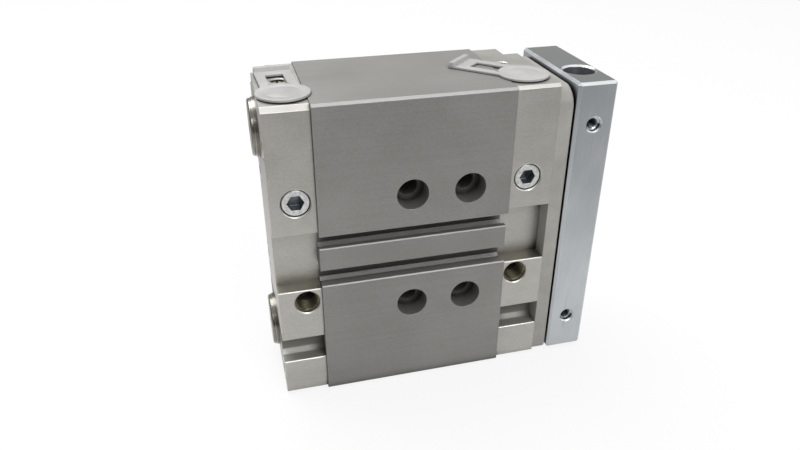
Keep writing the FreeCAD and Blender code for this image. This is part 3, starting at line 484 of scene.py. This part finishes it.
# %% Plastics
def moulded_plastic(name, dark, light, roughness, alpha=1.0):
    finish = Finish(name, alpha=alpha)
    rounded, edge = finish.soft_edges(0.3 * MM)
    texture = finish.noise(2400, 2)
    clouds = finish.noise(90, 3)
    colour = mottle(finish, dark, light, 0.7 * clouds + 0.3 * texture)
    return finish.made(
        # Edges painted lighter, partly as wear and partly as a painted highlight.
        base_color=finish.blend(colour, light, edge * 0.5),
        roughness=roughness + 0.2 * (clouds - 0.5),
        normal=finish.bump(texture, 0.01 * MM, rounded))


rubber = moulded_plastic("black_rubber", rgb(24, 24, 25), rgb(38, 38, 39), 0.55)
bush_compound = moulded_plastic("bush_compound", rgb(96, 88, 72), rgb(126, 116, 98), 0.6)
cover_plastic = moulded_plastic("cover_plastic", rgb(147, 145, 140), rgb(163, 161, 155), 0.4)
milky_plastic = moulded_plastic("milky_plastic", rgb(180, 179, 178), rgb(198, 197, 196), 0.35,
                                alpha=0.8)
magnet_compound = moulded_plastic("magnet_compound", rgb(40, 40, 42), rgb(58, 58, 60), 0.4)

# %% [markdown]
# ## Which piece gets which finish
# A node's name says what it is, so the finish could be chosen node by node or read from the
# name.  Five nodes have a finish to themselves.  The others share one with their kind: the
# list is searched from the top, so a longer word such as `cushion_screw` stands above the
# `screw` that it holds, and `cap` comes last, below the screws of the caps.

# %% Hand the finishes to the pieces
FINISHES = {
    "barrel_profile": profile_metal,
    "yoke_plate": yoke_metal,
    "bearing_cover": cover_plastic,
    "piston": piston_metal,
    "piston_magnet": magnet_compound,
}
KINDS = [
    ("guide_bush", bush_compound), ("piston_rod_bush", bush_compound),
    ("piston_guide_ring", bush_compound), ("seal", rubber), ("wiper", rubber),
    ("buffer", rubber), ("port_plug", plug_metal), ("cushion_screw", brass),
    ("dust_plug", milky_plastic), ("screw", screw_metal), ("nut", screw_metal),
    ("rod", rod_metal), ("cap", cap_metal),
]


def finish_of(node):
    """Material of a node, by its own name or by the first kind that the name holds."""
    kinds = [material for word, material in KINDS if word in node]
    return FINISHES.get(node) or kinds[0]


for name, piece in frame["nodes"].items():
    piece.data.materials.clear()
    piece.data.materials.append(finish_of(name))
    print(f"{name:24s} {finish_of(name).name}")

# %% [markdown]
# ## Modelling by operators
# What the engineering model draws plainly is modelled here as it would be by hand: add a
# primitive, go into edit mode, select some of it, extrude or bevel, and finish with
# modifiers.  Mesh data could be written out directly, but then nobody could repeat it with
# the mouse.  Operators act on whatever is selected, so `new_piece` clears the selection
# first.

# %% Start and finish a shape
operators = bpy.ops


def new_piece(add, name, **settings):
    """Add a primitive with nothing else selected, and put its place into its mesh."""
    operators.object.select_all(action="DESELECT")
    add(**settings)
    piece = bpy.context.object
    piece.name = name
    operators.object.transform_apply(location=True, rotation=True, scale=True)
    return piece


def modifier(piece, kind, **settings):
    """Add a modifier and apply it at once."""
    operators.object.mode_set(mode="OBJECT")
    operators.object.modifier_add(type=kind)
    added = piece.modifiers[-1]
    for name, value in settings.items():
        setattr(added, name, value)
    operators.object.modifier_apply(modifier=added.name)


print("shapes start in", bpy.context.mode, "mode")

# %% [markdown]
# ## Screw threads
# A tapped hole in the engineering model is a plain bore of the thread's core.  The thread is
# a ridge that winds down that bore.  A bump pattern would leave the bore's outline smooth,
# and the outline is what shows at the mouth of a hole, so the ridge is real: its profile, a
# small triangle, is drawn once and swept by a Screw modifier.  Pipe and metric threads
# differ only in core and pitch.  The ridge starts a little below the mouth, so that nothing
# stands out of the hole.

# %% Thread ridge
RIDGE_SIZE, RIDGE_INSET, RIDGE_START = 0.5, 0.17, 0.6  # shares of the pitch
STEPS_PER_TURN = 32


def thread_ridge(name, core_radius, pitch, turns):
    """Ridge that winds from the origin down -Z."""
    ridge = new_piece(operators.mesh.primitive_circle_add, name, vertices=3, fill_type="NGON",
                      radius=pitch * RIDGE_SIZE,
                      location=(core_radius - pitch * RIDGE_INSET, 0, -RIDGE_START * pitch),
                      rotation=(0, math.radians(-90), math.radians(90)))
    modifier(ridge, "SCREW", axis="Z", screw_offset=-pitch, iterations=turns,
             steps=STEPS_PER_TURN, render_steps=STEPS_PER_TURN, use_merge_vertices=False)
    operators.object.mode_set(mode="EDIT")
    operators.mesh.select_all(action="SELECT")
    operators.mesh.fill_holes(sides=3)
    operators.mesh.select_all(action="SELECT")
    operators.mesh.normals_make_consistent(inside=False)
    operators.object.mode_set(mode="OBJECT")
    crest = min(math.hypot(corner.co.x, corner.co.y) for corner in ridge.data.vertices)
    print(f"{name}: {turns} turns, crest at a radius of {crest / MM:.2f} mm")
    return ridge


PIPE_CORE, PIPE_PITCH = 4.3 * MM, 0.907 * MM
SIDE_CORE, SIDE_PITCH = 2.5 * MM, 1.0 * MM
BACK_CORE, BACK_PITCH = 3.4 * MM, 1.25 * MM
RIDGES = {
    "pipe": thread_ridge("pipe_ridge", PIPE_CORE, PIPE_PITCH, 7),
    "side": thread_ridge("side_ridge", SIDE_CORE, SIDE_PITCH, 11),
    "back": thread_ridge("back_ridge", BACK_CORE, BACK_PITCH, 9),
    "payload": thread_ridge("payload_ridge", SIDE_CORE, SIDE_PITCH, 12),
}

# %% [markdown]
# The record that came with the model gives the place of each tapped hole and the way that
# it points, or for a top port those of the plug in it, so no place is written down twice.
# Two of its rows stand for four holes each, given by their middle and their spacing.

# %% Find the tapped holes
MOUNTS = {mount["name"]: mount for mount in frame["record"]["mounts"]}
JOINTS = {joint["name"]: joint for joint in frame["record"]["behaviour"]["joints"]}
CORNERS = [(-1, -1), (-1, 1), (1, -1), (1, 1)]
TOP_THREAD_DEPTH = Vector((0, 0, 0.5 * MM))


def whole(axis):
    return tuple(int(part) for part in axis)


def four_holes(mount):
    """Name, place and outward axis of the four holes of a mount, numbered from 1."""
    holes = MOUNTS[mount]
    axis = whole(holes["axis"])
    sideways = Vector((1, 0, 0)) if axis == (0, 1, 0) else Vector((0, 1, 0))
    half_across = holes["dims"]["spacing_x_mm"] * MM / 2
    half_up = holes["dims"]["spacing_y_mm"] * MM / 2
    for number, (across, up) in enumerate(CORNERS, start=1):
        step = across * half_across * sideways + Vector((0, 0, up * half_up))
        yield f"{mount}_{number}", Vector(holes["pos_m"]) + step, axis


def thread_holes():
    """Name, place, outward axis and ridge of every tapped hole that can be seen."""
    for end in ("rear", "front"):
        port = MOUNTS[f"supply_port_{end}"]
        yield f"port_thread_{end}", port["pos_m"], whole(port["axis"]), "pipe"
        top = JOINTS[f"dust_plug_pull_{end}"]
        place = Vector(top["pos_m"]) - TOP_THREAD_DEPTH
        yield f"top_port_thread_{end}", place, whole(top["axis"]), "pipe"
    for end in ("upper", "lower"):
        side = MOUNTS[f"yoke_side_thread_{end}"]
        yield f"yoke_side_thread_{end}", side["pos_m"], whole(side["axis"]), "side"
    for mount, kind in (("back_threads", "back"), ("payload_threads", "payload")):
        for hole in four_holes(mount):
            yield *hole, kind


print(len(list(thread_holes())), "tapped holes")

# %% [markdown]
# What repeats is modelled once and copied, and each copy gets a mesh of its own, so that it
# can be turned and moved in the mesh while its object stays at the origin.  A finished
# piece rides on the body that it moves with: the yoke's threads go out with the carriage.

# %% Place the threads
AXIS_TURNS = {(0, -1, 0): (math.radians(90), 0, 0), (0, 1, 0): (math.radians(-90), 0, 0),
              (1, 0, 0): (0, math.radians(90), 0), (0, 0, 1): (0, 0, 0)}
SMOOTH_BELOW = math.radians(35)
THREAD_HOMES = {  # body, material slot and finish
    "pipe": ("housing", "cap", thread_metal),
    "side": ("carriage", "plated_steel", yoke_metal),
    "back": ("housing", "anodised", profile_metal),
    "payload": ("carriage", "plated_steel", yoke_metal),
}


def copy_to(piece, name, place, turn):
    """Copy a piece, with a mesh of its own, turned and moved to its place."""
    operators.object.select_all(action="DESELECT")
    twin = piece.copy()
    twin.data = piece.data.copy()
    twin.name = name
    bpy.context.collection.objects.link(twin)
    twin.rotation_euler = turn
    twin.location = place
    twin.select_set(True)
    bpy.context.view_layer.objects.active = twin
    operators.object.transform_apply(location=True, rotation=True, scale=True)
    return twin


def finished(piece, body, slot, material):
    """Give a piece its finish and tie it to the body that it moves with."""
    operators.object.mode_set(mode="OBJECT")
    operators.object.shade_smooth_by_angle(angle=SMOOTH_BELOW)
    piece.data.materials.clear()
    piece.data.materials.append(material)
    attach(piece, body)
    print(piece.name, "with", len(piece.data.polygons), "faces on", body)


for name, place, axis, kind in thread_holes():
    finished(copy_to(RIDGES[kind], name, place, AXIS_TURNS[axis]), *THREAD_HOMES[kind])
for ridge in RIDGES.values():
    bpy.data.objects.remove(ridge)

# %% [markdown]
# ## Transport plugs
# Each top port is closed for transport by a soft moulded plug: a round flange with a faint
# ring on it, a flat strap with a window, and a raised bar to pull it out by.  Its outline
# could be cut from a disc and a box, but that leaves a seam where they meet.  Here it is
# one flat sheet: the side of a disc that faces the strap is extruded and flattened, row by
# row, which grows the strap out of the disc, and the faces of the window are deleted.
#
# To select a part of a mesh in code, `pick` goes by where its middle is and which way it
# looks.

# %% Select and pull
def pick(piece, kind, wanted):
    """Select the faces, edges or corners whose middle and normal pass a test."""
    operators.object.mode_set(mode="OBJECT")
    mesh = piece.data
    for group in (mesh.vertices, mesh.edges, mesh.polygons):
        for item in group:
            item.select = False
    chosen = 0
    for item in getattr(mesh, kind):
        normal = None
        if kind == "vertices":
            middle = item.co
        elif kind == "edges":
            middle = sum((mesh.vertices[i].co for i in item.vertices), Vector()) / 2
        else:
            middle, normal = item.center, item.normal
        item.select = wanted(middle, normal)
        chosen += item.select
    operators.object.mode_set(mode="EDIT")
    mode = {"vertices": "VERT", "edges": "EDGE", "polygons": "FACE"}[kind]
    operators.mesh.select_mode(type=mode)
    print("picked", chosen, kind)


def extrude(x=0.0, z=0.0):
    """Pull out what is selected."""
    operators.mesh.extrude_region_move(TRANSFORM_OT_translate={"value": (x, 0, z)})


# %% Plug outline
FLANGE_RADIUS = 8.6 * MM
STRAP_HALF = 6.0 * MM
WINDOW_START, WINDOW_END = 7.6 * MM, 18.4 * MM
WINDOW_HALF = 3.0 * MM
BAR_START, BAR_END = 22.8 * MM, 25.2 * MM
ROWS = (WINDOW_START, WINDOW_END, BAR_START - 2 * MM, BAR_START, BAR_END)
PULL = 10 * MM  # any length does, because each row is then flattened onto its own place

plug = new_piece(operators.mesh.primitive_circle_add, "plug_pattern", vertices=72,
                 radius=FLANGE_RADIUS, fill_type="NGON")
pick(plug, "edges", lambda middle, normal: middle.x > 0 and abs(middle.y) < STRAP_HALF)
for row in ROWS:
    extrude(x=PULL)
    operators.transform.resize(value=(0, 1, 1), center_override=(row, 0, 0))
pick(plug, "polygons", lambda middle, normal: WINDOW_START < middle.x < WINDOW_END
     and abs(middle.y) < WINDOW_HALF)
operators.mesh.delete(type="FACE")

# %% [markdown]
# The corners between flange and strap, and those at the strap's end, are rounded while the
# plug is still flat, where a bevel of single corners is enough.  On the solid plug the same
# corners would be edges that run into the flange, where a bevel is harder to hold.

# %% Plug corners
NECK_ROUNDING, END_ROUNDING = 0.7 * MM, 0.5 * MM
SHEET = 0.7 * MM


def near(value, target):
    return abs(value - target) < 0.01 * MM


strap_side = max(corner.co.y for corner in plug.data.vertices
                 if corner.co.x > WINDOW_START - 0.1 * MM)
pick(plug, "vertices", lambda spot, normal: near(abs(spot.y), strap_side)
     and spot.x < WINDOW_START - 0.5 * MM)
operators.mesh.bevel(affect="VERTICES", offset=NECK_ROUNDING, segments=3)
pick(plug, "vertices", lambda spot, normal: near(abs(spot.y), strap_side)
     and near(spot.x, BAR_END))
operators.mesh.bevel(affect="VERTICES", offset=END_ROUNDING, segments=3)
operators.mesh.select_all(action="SELECT")
extrude(z=SHEET)
operators.mesh.select_all(action="SELECT")
operators.mesh.normals_make_consistent(inside=False)
print("the strap is", round(2 * strap_side / MM, 1), "mm wide")

# %% [markdown]
# The rest grows out of the sheet's own faces, so the plug stays one closed skin.  The bar is
# pulled up from the strap's end and drawn in a little, as a mould needs.  The ring is a
# shallow groove: the flange's top is drawn in, sunk, drawn in again and raised.  The stem is
# the flange's underside, drawn in and pushed down into the port.  A bevel over all then
# takes away the sharp edges, which a soft moulding never has.

# %% Plug bar, ring and stem
BAR_RISE = 1.3 * MM
BAR_DRAFT = (0.75, 0.98, 1)
RING_STEPS = ((0.7, 0), (0.96, -0.12 * MM), (0.9, 0), (0.96, 0.12 * MM))  # share, rise
STEM_SHARE, STEM_LENGTH = 0.45, 6 * MM
SOFT_EDGE = 0.16 * MM


def draw_in(share):
    """Scale what is selected towards the flange's middle."""
    operators.transform.resize(value=(share, share, 1), center_override=(0, 0, 0))


def flange_middle(spot):
    return abs(spot.x) < 1 * MM and abs(spot.y) < 1 * MM


pick(plug, "polygons", lambda middle, normal: normal.z > 0.9 and middle.x > BAR_START)
extrude(z=BAR_RISE)
operators.transform.resize(value=BAR_DRAFT)
pick(plug, "polygons", lambda middle, normal: normal.z > 0.9 and flange_middle(middle))
for share, rise in RING_STEPS:
    extrude(z=rise)
    draw_in(share)
pick(plug, "polygons", lambda middle, normal: normal.z < -0.9 and flange_middle(middle))
extrude()
draw_in(STEM_SHARE)
extrude(z=-STEM_LENGTH)
modifier(plug, "BEVEL", width=SOFT_EDGE, segments=2, limit_method="ANGLE",
         angle_limit=math.radians(40))

# %% [markdown] Each plug is turned as somebody left it, and hung so that its bar's top is
# where the engineering model has it.

# %% Place the plugs
STRAP_TURNS = {"rear": 93, "front": 135}  # degrees from +X
for end, turn in STRAP_TURNS.items():
    node = f"dust_plug_{end}"  # the body that it moves with has the same name
    place = Vector(JOINTS[f"dust_plug_pull_{end}"]["pos_m"])
    place.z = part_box(node)[1][2] - SHEET - BAR_RISE
    moulded = copy_to(plug, f"moulded_plug_{end}", place, (0, 0, math.radians(turn)))
    finished(moulded, node, "dust_plug", milky_plastic)
    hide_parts(node)
bpy.data.objects.remove(plug)

# %% [markdown]
# ## Floor
# The floor is plain and pale.  Light strong enough to make it white would wash the cylinder
# out as well, so the white comes from Light Path: to the camera the floor mostly glows, and
# to diffuse light it is ordinary pale paper, which takes the object's shadow.  Metal sees the
# glow too, as a painted reflection of a bright floor: less of it far away, and less right
# under the object, as a painted shadow in the reflection.

# %% Floor
FLOOR_SIZE = 8
# How the painted reflection dims: far from the origin, and right under the object as a painted
# shadow.
FAR_FADE, UNDER_FADE = (0.1, 0.28, 1.0, 0.35), (0, 0.08, 0.75, 1.0)

floor = new_piece(operators.mesh.primitive_plane_add, "floor", size=FLOOR_SIZE,
                  location=(0, 0, cad_box[0][2]))
paper = Finish("white_paper", roughness=0.9, base_color=(0.8, 0.8, 0.8, 1))
spot = paper.node("TexCoord", {}, output="Object")
distance = paper.node("VectorMath", {0: spot}, {"operation": "LENGTH"}, output="Value")
camera_ray = paper.node("LightPath", {}, output="Is Camera Ray")
glossy_ray = paper.node("LightPath", {}, output="Is Glossy Ray")
# Strength of the painted reflection that the floor gives to glossy rays.
painted_reflection_strength = paper.band(distance, *FAR_FADE) * paper.band(distance, *UNDER_FADE)
glow = paper.node("Emission", {"Color": (1, 1, 1, 1),
                               "Strength": camera_ray + glossy_ray * painted_reflection_strength})
share = 0.85 * camera_ray + 0.7 * glossy_ray
matt = Field(paper.tree, paper.shader.outputs[0])
shown = paper.node("MixShader", {0: share, 1: matt, 2: glow})
plug_in(paper.tree, paper.tree.nodes["Material Output"].inputs["Surface"], shown)
floor.data.materials.append(paper.made())

# %% [markdown]
# ## World
# Metal shows what stands round it.  Under one even white it would lose all its shape, so the
# world is dim at eye level in front, where a room lies behind whoever looks, and bright
# overhead and at the back.  The world's Generated coordinate is the direction that a ray
# takes.

# %% World
DIM, FROM_BEHIND, FROM_ABOVE = 0.12, 0.3, 0.45

world = bpy.data.worlds.new("studio")
bpy.context.scene.world = world
world.use_nodes = True
studio = Wiring(world.node_tree)
direction = studio.node("TexCoord", {}, output="Generated")
behind = studio.band(studio.node("SeparateXYZ", {"Vector": direction}, output="Y"), -0.5, 0.7)
overhead = studio.band(studio.node("SeparateXYZ", {"Vector": direction}, output="Z"), 0.05, 0.9)
seen = studio.node("LightPath", {}, output="Is Camera Ray")
room = DIM + FROM_BEHIND * behind + FROM_ABOVE * overhead
background = studio.tree.nodes["Background"]
plug_in(studio.tree, background.inputs["Color"], (1, 1, 1, 1))
plug_in(studio.tree, background.inputs["Strength"], room * (1 - seen) + seen)
print("the world has", len(studio.tree.nodes), "nodes")

# %% [markdown]
# ## Lamps
# Three large soft lamps do what the windows of a studio do.  Small lamps or a sun would give
# hard shadows and pinpoint glints on the screws.  One hangs above and a little behind, one
# to the right lights the yoke, and a small one in front puts a glint on the edges.

# %% Lamps
MIDDLE = Vector((0, 0, 0.05))
LAMPS = {  # place and side in metres, and watts
    "glint": ((0.15, -0.55, 0.55), 0.35, 2.2),
    "top": ((-0.25, 0.45, 1.0), 0.8, 9),
    "side": ((1.1, -0.3, 0.4), 0.6, 1.6),
}


def soft_lamp(name, place, size, watts):
    """Square lamp that faces the middle of the object."""
    light = bpy.data.lights.new(name, "AREA")
    light.size = size
    light.energy = watts
    lamp = bpy.data.objects.new(name, light)
    bpy.context.collection.objects.link(lamp)
    lamp.location = place
    lamp.rotation_euler = (MIDDLE - Vector(place)).to_track_quat("-Z", "Y").to_euler()
    print(f"{name}: {watts} W from {(MIDDLE - Vector(place)).length:.2f} m away")


for name, settings in LAMPS.items():
    soft_lamp(name, *settings)

# %% [markdown]
# ## Camera
# The camera stands close, a little above and to the left, which shows the front, the top and
# the yoke's narrow face at once.  A longer lens from further away would flatten the object,
# so the lens is a fairly wide one.

# %% Camera
LENS, SENSOR = 31.42, 36  # both in millimetres
CAMERA_PLACE = (-0.0571, -0.2216, 0.1793)
CAMERA_TILT, CAMERA_TURN = math.radians(60.91), math.radians(-14.55)

camera_data = bpy.data.cameras.new("camera")
camera_data.lens = LENS
camera_data.sensor_width = SENSOR
camera_data.clip_start = 10 * MM
camera = bpy.data.objects.new("camera", camera_data)
bpy.context.collection.objects.link(camera)
camera.location = CAMERA_PLACE
camera.rotation_euler = (CAMERA_TILT, 0, CAMERA_TURN)
bpy.context.scene.camera = camera
bpy.context.scene.view_settings.view_transform = "Standard"
print("the camera sees", round(math.degrees(camera_data.angle), 1), "degrees across")

# %% [markdown] ## End
# The dressed object may not be larger than the engineering model.
